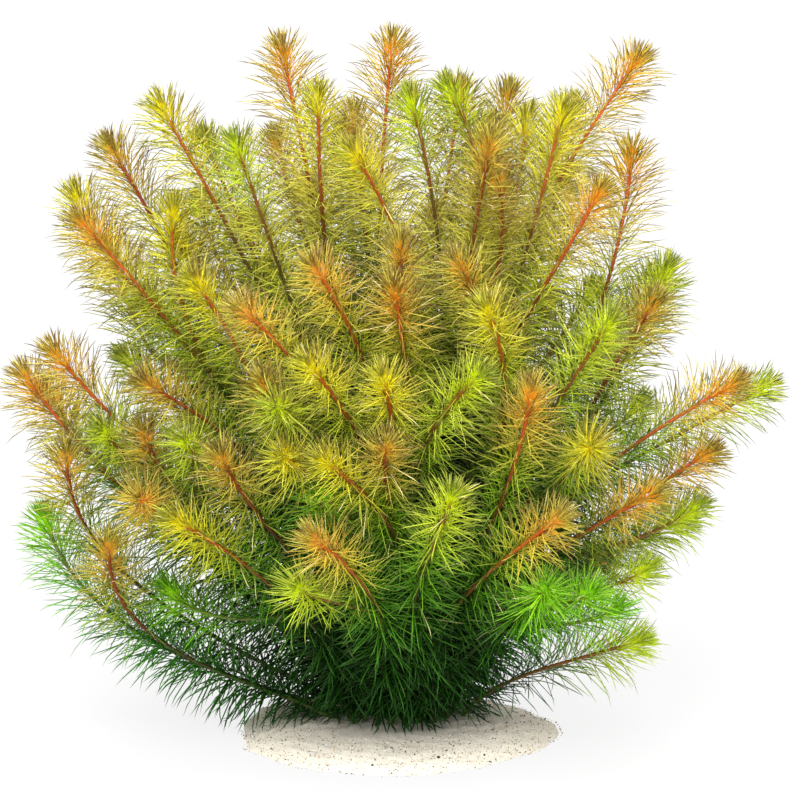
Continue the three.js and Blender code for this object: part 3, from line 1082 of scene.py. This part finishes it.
    def build(self, spots: LeafSpots, rings: tuple[Band, ...], band: Band, base: Form) -> Patch:
        """Leaves as closed three-sided blades along bent lines.

        A blade's middle line at the share t is its base plus its length times t along its first
        direction, plus its length times t squared times a bend: outwards by the curl, sideways
        by the sway and downwards by the droop. It is pointed at both ends. Each ring between
        them has two edge corners and a keel.

        Args:
            spots: Where the leaves are.
            rings: The rings' shares of the length, with their shares of the width.
            band: The lowest and highest part of the map that the leaves take.
            base: What the leaves' bases are.

        Returns:
            Their patch.
        """
        n, count = len(spots.base), len(rings)
        cos, sin = np.cos(spots.lean)[:, None], np.sin(spots.lean)[:, None]
        first = cos * spots.along + sin * spots.out
        outward = cos * spots.out - sin * spots.along
        sideways = np.cross(spots.along, spots.out)
        bend = spots.curl[:, None] * outward + spots.sway[:, None] * sideways
        bend = bend - spots.droop[:, None] * UP
        shares = np.array([0.0] + [t for t, _ in rings] + [1.0])
        t = shares[None, :, None]
        line = spots.length[:, None, None] * (t * first[:, None] + t**2 * bend[:, None])
        line = spots.base[:, None] + line
        lowest = self.sand.lowest_leaf(line[..., 0], line[..., 1])
        line[..., 2] = np.maximum(line[..., 2], lowest)
        course = unit(first[:, None] + 2 * t[:, 1:-1] * bend[:, None])
        flat = sideways[:, None] - course * (course * sideways[:, None]).sum(-1, keepdims=True)
        flat = unit(flat)
        thick = np.cross(course, flat)
        cos, sin = np.cos(spots.roll)[:, None, None], np.sin(spots.roll)[:, None, None]
        flat, thick = flat * cos + thick * sin, thick * cos - flat * sin
        half = spots.width[:, None, None] / 2 * np.array([w for _, w in rings])[None, :, None]
        rise = self.thickness * half
        middle, edge = line[:, 1:-1], half * flat
        keel = middle + rise * thick * self.keel
        corners = [middle + edge - rise * thick, keel, middle - edge - rise * thick]
        ringed = np.stack(corners, axis=2).reshape(n, count * 3, 3)
        points = np.concatenate([line[:, :1], ringed, line[:, -1:]], axis=1)
        template, spread = self.template(count)
        size = points.shape[1]
        triangles = template[None] + np.arange(n)[:, None, None] * size
        along = np.concatenate([[0.0], np.repeat(shares[1:-1], 3), [1.0]])
        forms = np.where((template == 0).any(axis=1), base.value, Form.LEAF.value)
        return Patch(
            points.reshape(-1, 3),
            triangles.reshape(-1, 3),
            np.repeat(spots.below_tip, size),
            np.tile(along, n),
            np.repeat(spots.tint, size),
            np.repeat(spots.blush, size),
            (spots.tone[:, None] * len(Form) + forms[None, :]).ravel(),
            self.cells(n, spread, band).reshape(-1, 3, 2),
        )

    def template(self, count: int) -> tuple[Array, Array]:
        """One blade's triangles and their corners' places in its cell of the map.

        Args:
            count: How many rings it has.

        Returns:
            The triangles, and the places as shares of the cell.
        """
        faces, places = [], []
        heights = np.linspace(self.cell_foot, self.cell_top, count + 2)
        for i in range(3):
            left, right = (self.cell_left + side * self.cell_side for side in (i, i + 1))
            middle = (left + right) / 2
            a, b = 1 + i, 1 + (i + 1) % 3
            faces.append((0, b, a))
            places.append(((middle, heights[0]), (right, heights[1]), (left, heights[1])))
            for low, high in zip(heights[1:], heights[2:-1]):
                faces += [(a, b, b + 3), (a, b + 3, a + 3)]
                places.append(((left, low), (right, low), (right, high)))
                places.append(((left, low), (right, high), (left, high)))
                a, b = a + 3, b + 3
            faces.append((a, b, 3 * count + 1))
            places.append(((left, heights[-2]), (right, heights[-2]), (middle, heights[-1])))
        return np.array(faces), np.array(places)

    def cells(self, n: int, spread: Array, band: Band) -> Array:
        """The map's places of all leaves: a grid of cells, taller than wide.

        Args:
            n: How many leaves there are.
            spread: The places of one blade in its cell.
            band: The lowest and highest part of the map that the grid takes.

        Returns:
            The places of all their corners.
        """
        low, high = band
        columns = max(1, int(math.sqrt(n * self.cell_slenderness / (high - low))))
        rows = math.ceil(n / columns)
        cell = np.stack([np.arange(n) % columns, np.arange(n) // columns], 1).astype(float)
        size = np.array([1 / columns, (high - low) / rows])
        return (cell[:, None, None] + spread[None]) * size + np.array([0, low])


# Finishes: colours as they look on a screen, set in node trees that read the pieces' attributes.


def colour(code: str) -> tuple[float, float, float, float]:
    """A screen colour such as "#d2884a" as the linear values that a socket takes.

    Each part over 255, c, becomes ((c + 0.055) / 1.055) to the power 2.4, or c over 12.92 if it
    is small.

    Args:
        code: The colour.

    Returns:
        Red, green, blue and an alpha of 1.
    """
    parts = (int(code[k : k + 2], 16) / 255 for k in (1, 3, 5))
    red, green, blue = (c / 12.92 if c <= 0.04045 else ((c + 0.055) / 1.055) ** 2.4 for c in parts)
    return red, green, blue, 1.0


@dataclass(frozen=True)
class Span:
    """A range of a named value, over which something grows from none to all of it."""

    value: str
    low: float
    high: float
    soft: bool = False


@dataclass(frozen=True)
class Wash:
    """How a colour is laid over a paint: its largest share, where it shows, and the mixing."""

    share: float
    spans: tuple[Span, ...]
    how: str = "MIX"


class Tree:
    """A material and short ways to add to its nodes."""

    def __init__(self, name: str) -> None:
        """Starts a material with a Principled shader.

        Args:
            name: The material's name.
        """
        self.material = bpy.data.materials.new(name)
        self.material.use_nodes = True
        self.nodes = self.material.node_tree.nodes
        self.links = self.material.node_tree.links
        self.shader = self.nodes["Principled BSDF"]

    def put(self, value: Input, socket: Socket) -> None:
        """Sets an input.

        Args:
            value: A socket to link to it, a number, some numbers or a colour's code.
            socket: The input.
        """
        if isinstance(value, Socket):
            self.links.new(value, socket)
        else:
            socket.default_value = colour(value) if isinstance(value, str) else value

    def add(self, kind: str, output: Key, inputs: dict[Key, Input], **settings: str) -> Socket:
        """Adds a node.

        Args:
            kind: The node's kind.
            output: Which of its outputs is used.
            inputs: What its inputs are set to.
            settings: What its other settings are.

        Returns:
            The output.
        """
        node = self.nodes.new(kind)
        for key, setting in settings.items():
            setattr(node, key, setting)
        for key, value in inputs.items():
            self.put(value, node.inputs[key])
        return node.outputs[output]

    def attribute(self, name: str) -> Socket:
        """The value of one of the mesh's attributes."""
        return self.add("ShaderNodeAttribute", "Fac", {}, attribute_name=name)

    def place(self) -> Socket:
        """The place on the object, in metres."""
        return self.add("ShaderNodeTexCoord", "Object", {})

    def height(self) -> Socket:
        """The height on the object, in metres."""
        return self.add("ShaderNodeSeparateXYZ", "Z", {0: self.place()})

    def depth(self, middle: Point, half_sizes: Point) -> Socket:
        """How far out a place is from a middle, as a share of three half sizes.

        Args:
            middle: The middle, in metres.
            half_sizes: The half sizes along the three axes.

        Returns:
            The length of the place after it is moved and divided.
        """
        scale = [1 / half for half in half_sizes]
        moved = [-m / half for m, half in zip(middle, half_sizes)]
        inputs = {"Vector": self.place(), "Scale": scale, "Location": moved}
        mapped = self.add("ShaderNodeMapping", "Vector", inputs)
        return self.add("ShaderNodeVectorMath", "Value", {0: mapped}, operation="LENGTH")

    def noise(self, scale: float, detail: float = 2.0) -> Socket:
        """A noise from 0 to 1 over the place on the object."""
        inputs = {"Scale": scale, "Detail": detail, "Vector": self.place()}
        return self.add("ShaderNodeTexNoise", "Fac", inputs)

    def ranged(self, value: Socket, low: float, high: float, soft: bool = False) -> Socket:
        """A value moved from the range low to high to the range 0 to 1, and kept in it.

        Args:
            value: The value.
            low: What becomes 0.
            high: What becomes 1.
            soft: Whether it starts and ends softly.

        Returns:
            The moved value.
        """
        inputs = {"Value": value, "From Min": low, "From Max": high}
        how = "SMOOTHSTEP" if soft else "LINEAR"
        return self.add("ShaderNodeMapRange", "Result", inputs, interpolation_type=how)

    def product(self, value: Socket, other: Socket | float) -> Socket:
        """Two values multiplied."""
        return self.add("ShaderNodeMath", 0, {0: value, 1: other}, operation="MULTIPLY")

    def ramp(self, value: Socket, stops: Stops) -> Socket:
        """Colours along a value: each stop has its place from 0 to 1 and its colour.

        Args:
            value: Where on the ramp a point is.
            stops: The stops in rising order.

        Returns:
            The colour there.
        """
        output = self.add("ShaderNodeValToRGB", "Color", {"Fac": value})
        elements = output.node.color_ramp.elements
        while len(elements) < len(stops):
            elements.new(0.5)
        for element, (place, code) in zip(elements, stops):
            element.position, element.color = place, colour(code)
        return output

    def mixed(self, share: Socket, one: Input, other: Input, how: str = "MIX") -> Socket:
        """Two colours mixed by the share of the other one, in one of the Mix node's ways."""
        inputs = {0: share, 6: one, 7: other}
        return self.add("ShaderNodeMix", 2, inputs, data_type="RGBA", blend_type=how)

    def washed(self, paint: Socket, wash: Wash, other: Input, values: dict[str, Socket]) -> Socket:
        """A paint with another colour over it.

        The other colour's share is the wash's own times how far each value is through its span.

        Args:
            paint: The paint.
            wash: How the other colour is laid over it.
            other: The other colour.
            values: The sockets that spans name.

        Returns:
            The colour of both.
        """
        grown = [self.ranged(values[s.value], s.low, s.high, s.soft) for s in wash.spans]
        share = grown[0]
        for factor in (*grown[1:], wash.share):
            share = self.product(share, factor)
        return self.mixed(share, paint, other, wash.how)

    def shine(self, roughness: float, specular: float) -> None:
        """Sets how rough and how glossy the shader is."""
        self.shader.inputs["Roughness"].default_value = roughness
        self.shader.inputs["Specular IOR Level"].default_value = specular

    def glow(self, code: str, strength: float) -> None:
        """Lets the shader give light of a colour, as a lit panel does."""
        self.shader.inputs["Emission Color"].default_value = colour(code)
        self.shader.inputs["Emission Strength"].default_value = strength

    def paint(self, paint: Socket) -> None:
        """Links the base colour."""
        self.links.new(paint, self.shader.inputs["Base Color"])

    def bump(self, height: Socket, strength: float, distance: float) -> None:
        """Links a bump from a height."""
        inputs = {"Strength": strength, "Distance": distance, "Height": height}
        self.put(self.add("ShaderNodeBump", "Normal", inputs), self.shader.inputs["Normal"])


@dataclass(frozen=True)
class LeafFinish:
    """The leaves' colours.

    Near the tip a leaf runs from the heart's colour at its base to a lighter one. Lower down the
    colours go by height. One side of a shoot is brown, a leaf's point is dull, some leaves have
    wilted, and painted shade darkens the inside of the clump. Spans of below_tip are in metres,
    and height is a share of the clump's height.
    """

    heart: str
    young: str
    upper: str
    brown: str
    point: str
    fresh_reach: float = 60 * MM
    fresh_places: tuple[float, ...] = (0.0, 0.12, 0.36, 0.72)
    outer: Wash = Wash(0.85, (Span("along", 0.1, 0.6, soft=True),))
    settled: Wash = Wash(1.0, (Span("below_tip", 12 * MM, 50 * MM, soft=True),))
    browned: Wash = Wash(
        0.7,
        (
            Span("blush", 0.5, 1.0, soft=True),
            Span("along", 0.05, 0.6),
            Span("below_tip", 45 * MM, 14 * MM, soft=True),
            Span("height", 0.2, 0.6),
        ),
    )
    dulled: Wash = Wash(0.72, (Span("along", 0.4, 0.85), Span("height", 0.05, 0.4)))
    wilting: Wash = Wash(0.75, (Span("tint", 0.984, 0.986),))
    darkened: Wash = Wash(0.6, (Span("tint", 0.5, 0.0),), "MULTIPLY")
    brightened: Wash = Wash(0.55, (Span("tint", 0.55, 0.96),), "SCREEN")
    # painted shade: leaves are darker the deeper they lie inside the clump's dome
    shaded: Wash = Wash(0.86, (Span("depth", 0.85, 0.4, soft=True),), "MULTIPLY")
    clump_height: float = 0.26
    heights: Stops = (
        (0.0, "#1a5a0a"),
        (0.14, "#3c8e12"),
        (0.34, "#68ae1a"),
        (0.6, "#bcd024"),
        (0.85, "#fce05c"),
    )
    bright: Stops = ((0.04, "#1c5808"), (0.2, "#60b012"), (0.5, "#dcd448"))
    wilted: str = "#d9b79c"
    dark: str = "#33380f"
    # painted shade: the colour laid over leaves deep inside the clump, and the dome that measures
    # how deep
    inside: str = "#1d2a0c"
    dome_middle: Point = (0.0, 0.0, 0.07)
    dome_half_sizes: Point = (0.13, 0.108, 0.13)
    shine: Band = (0.5, 0.22)

    def material(self, name: str, glow: float = 0.0) -> bpy.types.Material:
        """Makes the material.

        Args:
            name: Its name.
            glow: How strong a painted glow in the heart's colour is, in place of light shining
                through.

        Returns:
            The material.
        """
        tree = Tree(name)
        values = {key: tree.attribute(key) for key in CARRIED}
        height = values["height"] = tree.ranged(tree.height(), 0, self.clump_height)
        # how deep a point lies inside the clump, which sets the painted shade
        values["depth"] = tree.depth(self.dome_middle, self.dome_half_sizes)
        fresh = tuple(zip(self.fresh_places, (self.heart, self.heart, self.young, self.upper)))
        paint = tree.ramp(tree.ranged(values["below_tip"], 0, self.fresh_reach), fresh)
        for wash, other in (
            (self.outer, self.young),
            (self.settled, tree.ramp(height, self.heights)),
            (self.browned, self.brown),
            (self.dulled, self.point),
            (self.wilting, self.wilted),
            (self.darkened, self.dark),
            (self.brightened, tree.ramp(height, self.bright)),
            # painted shade inside the clump
            (self.shaded, self.inside),
        ):
            paint = tree.washed(paint, wash, other, values)
        tree.paint(paint)
        tree.shine(*self.shine)
        # painted glow in the heart's colour, in place of light shining through the leaves
        tree.glow(self.heart, glow)
        return tree.material


@dataclass(frozen=True)
class BarkFinish:
    """The stem's colours from its tip downwards, with a fine dark grain."""

    bud: str
    young: str
    middle: str
    old: str = "#465a1e"
    reach: float = 0.12
    places: tuple[float, ...] = (0.0, 0.06, 0.18, 0.42, 0.7)
    grain: str = "#6a4020"
    grain_scale: float = 900
    grain_share: float = 0.4
    bump_scale: float = 1500
    bump: Band = (0.3, 0.1 * MM)
    shine: Band = (0.4, 0.4)

    def material(self, name: str) -> bpy.types.Material:
        """Makes the material.

        Args:
            name: Its name.

        Returns:
            The material.
        """
        tree = Tree(name)
        below = tree.ranged(tree.attribute("below_tip"), 0, self.reach)
        colours = (self.bud, self.young, self.young, self.middle, self.old)
        paint = tree.ramp(below, tuple(zip(self.places, colours)))
        grain = tree.product(tree.noise(self.grain_scale), self.grain_share)
        tree.paint(tree.mixed(grain, paint, self.grain, "MULTIPLY"))
        tree.bump(tree.noise(self.bump_scale), *self.bump)
        tree.shine(*self.shine)
        return tree.material


@dataclass(frozen=True)
class SandFinish:
    """Pale sand with specks, and darker grains of several colours."""

    pale: str = "#f4efe6"
    shade: str = "#d2c6b0"
    speck: str = "#3e3428"
    shade_noise: Band = (1400, 4.0)
    speck_scale: float = 1500
    specks: Band = (0.64, 0.7)
    grains: Stops = (
        (0.0, "#14110c"),
        (0.2, "#33261a"),
        (0.34, "#7a5b3a"),
        (0.5, "#c0a268"),
        (0.7, "#e4dccd"),
        (1.0, "#f3efe6"),
    )
    bump_scale: float = 2200
    bump: Band = (0.6, 0.3 * MM)
    shine: Band = (0.85, 0.2)

    def material(self) -> bpy.types.Material:
        """Makes the material.

        Returns:
            The material.
        """
        tree = Tree("sand_grains")
        paint = tree.mixed(tree.noise(*self.shade_noise), self.pale, self.shade)
        specks = tree.ranged(tree.noise(self.speck_scale), *self.specks)
        paint = tree.mixed(specks, paint, self.speck)
        grains = tree.ramp(tree.attribute("tint"), self.grains)
        tree.paint(tree.mixed(tree.attribute("along"), paint, grains))
        tree.bump(tree.noise(self.bump_scale), *self.bump)
        tree.shine(*self.shine)
        return tree.material


LEAF_FINISHES = {
    ORANGE: LeafFinish("#ffa828", "#e4c844", "#bcc038", "#bc8040", "#3c342e"),
    PEACH: LeafFinish("#ffb44c", "#e8d440", "#bcc430", "#d08c4a", "#54483c"),
    GOLD: LeafFinish("#fff014", "#e4e434", "#c0d028", "#c08c3a", "#403e2e"),
    OLIVE: LeafFinish("#e8f818", "#c8e034", "#a8c428", "#a88c3c", "#3c402e"),
    LIME: LeafFinish("#b4f41c", "#86d420", "#68b81c", "#88b038", "#2c442a"),
    RUSSET: LeafFinish("#f4b438", "#d0c044", "#b0b434", "#ac7a40", "#3e342c"),
}

BARK_FINISHES = {
    ORANGE: BarkFinish("#f0a030", "#d8662a", "#8c4a1e"),
    PEACH: BarkFinish("#eca83e", "#d86e2c", "#885022"),
    GOLD: BarkFinish("#e0cc2e", "#c86428", "#7c4e1e"),
    OLIVE: BarkFinish("#c0c434", "#a06028", "#5c4c1e"),
    LIME: BarkFinish("#96c020", "#788a2a", "#4c5a1f"),
    RUSSET: BarkFinish("#c0802e", "#a84e26", "#5e3a1c"),
}


class Foliage:
    """All stems of the clump, one piece for each."""

    def __init__(self, layout: Layout, bark: Bark, leaves: NeedleLeaves, whorls: Whorls) -> None:
        """Plans the clump and makes its materials.

        Args:
            layout: How the stems run.
            bark: Their thin stems.
            leaves: Their leaves.
            whorls: Where the leaves sit.
        """
        regions = {
            "left": LEFT,
            "crown": CROWN,
            "right": RIGHT,
            "front": FRONT,
            "back": BackStems().plan(),
        }
        self.names = [
            f"{region}_stem_{number:02d}"
            for region, rows in regions.items()
            for number, _ in enumerate(rows, 1)
        ]
        stems = [row for rows in regions.values() for row in rows]
        self.placed = layout.spread(layout.lay_out(stems))
        self.bark, self.leaves, self.whorls = bark, leaves, whorls
        self.materials = {
            tone: (
                LEAF_FINISHES[tone].material(f"leaves_{tone.value}"),
                # the hearts' copy of the leaf material, with a painted glow
                LEAF_FINISHES[tone].material(f"painted_glow_hearts_{tone.value}", HEART_PAINTED_GLOW),
                BARK_FINISHES[tone].material(f"bark_{tone.value}"),
            )
            for tone in Tone
        }

    def build(self) -> list[bpy.types.Object]:
        """Makes every stem's piece."""
        return [self.stem(number) for number in range(len(self.names))]

    def stem(self, number: int) -> bpy.types.Object:
        """Makes one stem with its side shoots as a piece in place of its solid.

        Args:
            number: The stem's number.

        Returns:
            The piece.
        """
        own = [(i, p) for i, p in enumerate(self.placed) if p.number == number]
        tones = list(dict.fromkeys(p.shoot.tone for _, p in own))
        barks, spots = [], []
        for k, (i, placed) in enumerate(own):
            rng = np.random.default_rng(FIRST_SHOOT_SEED + i)
            axis = Axis(placed.path * MM)
            room = self.bark.map_room
            band = tuple(self.bark.map_height * (k + edge) / len(own) for edge in room)
            places = self.whorls.below_tip(axis.length)
            tone = tones.index(placed.shoot.tone)
            rooted = placed.parent is None
            barks.append(self.bark.build(axis, places, Form.BARK.slot(tone), band, rooted))
            spots.append(self.leaves.spots(axis, self.whorls, tone, rng))
        simple = own[0][1].shoot.free
        leaves = self.leaves.dress(together(spots), simple, self.bark.map_height)
        whole = Patch.joined([*barks, *leaves])
        materials = [material for tone in tones for material in self.materials[tone]]
        node = self.names[number]
        piece = whole.made(f"{node}_leafy", materials)
        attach(piece, "root")
        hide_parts(node)
        log.info("%s: %d triangles", piece.name, len(whole.triangles))
        return piece


@dataclass(frozen=True)
class Studio:
    """A pale floor, soft light from above and the camera.

    Each lamp has its name, its angle round the clump from the front to the right and its height
    angle, in degrees, and its strength in watts a square metre.
    """

    aim: Point = (0.0018, 0.0, 0.1210)
    distance: float = 2.2
    elevation: float = 15
    view_width: float = 0.288
    sensor: float = 36
    furthest: float = 40
    floor_half: float = 6.0
    floor_glow: float = 0.82
    floor_tones: tuple[str, str] = ("#585858", "#565656")
    floor_noise: float = 3
    floor_shine: Band = (0.9, 0.1)
    lamps: tuple[tuple[str, float, float, float], ...] = (
        ("key", -20, 56, 4.2),
        ("fill", 50, 42, 1.1),
        ("low", -8, 14, 1.2),
        ("back", 170, 60, 1.4),
    )
    lamp_angle: float = 40
    surroundings: float = 0.75

    def camera(self) -> None:
        """Sets up the camera, whose frame is view_width wide at the aim."""
        data = bpy.data.cameras.new("camera")
        data.sensor_width = self.sensor
        data.lens = self.sensor * self.distance / self.view_width
        data.clip_end = self.furthest
        camera = linked("camera", data)
        e = math.radians(self.elevation)
        back = np.array([0, -math.cos(e), math.sin(e)])
        camera.location = np.array(self.aim) + self.distance * back
        camera.rotation_euler = (math.pi / 2 - e, 0, 0)
        bpy.context.scene.camera = camera

    def floor(self) -> None:
        """Lays the pale floor."""
        h = self.floor_half
        mesh = bpy.data.meshes.new("floor")
        mesh.from_pydata([(-h, -h, 0), (h, -h, 0), (h, h, 0), (-h, h, 0)], [], [(0, 1, 2, 3)])
        tree = Tree("floor_paint")
        tree.paint(tree.mixed(tree.noise(self.floor_noise), *self.floor_tones))
        tree.shine(*self.floor_shine)
        tree.glow("#ffffff", self.floor_glow)
        mesh.materials.append(tree.material)
        floor = linked("floor", mesh)

    def lamp(self, name: str, azimuth: float, elevation: float, strength: float) -> None:
        """Adds a wide, far light that falls evenly from one direction.

        Args:
            name: Its name.
            azimuth: Where it stands round the clump, in degrees from the front to the right.
            elevation: How high it stands, in degrees.
            strength: Its strength in watts a square metre.
        """
        data = bpy.data.lights.new(name, "SUN")
        data.energy = strength
        data.angle = math.radians(self.lamp_angle)
        lamp = linked(name, data)
        lamp.rotation_euler = (math.radians(90 - elevation), 0, math.radians(azimuth))

    def build(self) -> None:
        """Sets up the camera, the floor, the lights and the pale surroundings."""
        self.camera()
        self.floor()
        for lamp in self.lamps:
            self.lamp(*lamp)
        world = bpy.data.worlds.new("surroundings")
        world.use_nodes = True
        background = world.node_tree.nodes["Background"]
        background.inputs["Color"].default_value = (1, 1, 1, 1)
        background.inputs["Strength"].default_value = self.surroundings
        bpy.context.scene.world = world
        bpy.context.scene.view_settings.view_transform = "Standard"


def main() -> None:
    logging.basicConfig(level=logging.INFO, format="%(message)s")
    Studio().build()
    SandBed().build(SandFinish())
    Foliage(Layout(), Bark(), NeedleLeaves(), Whorls()).build()


if __name__ == "__main__":
    main()
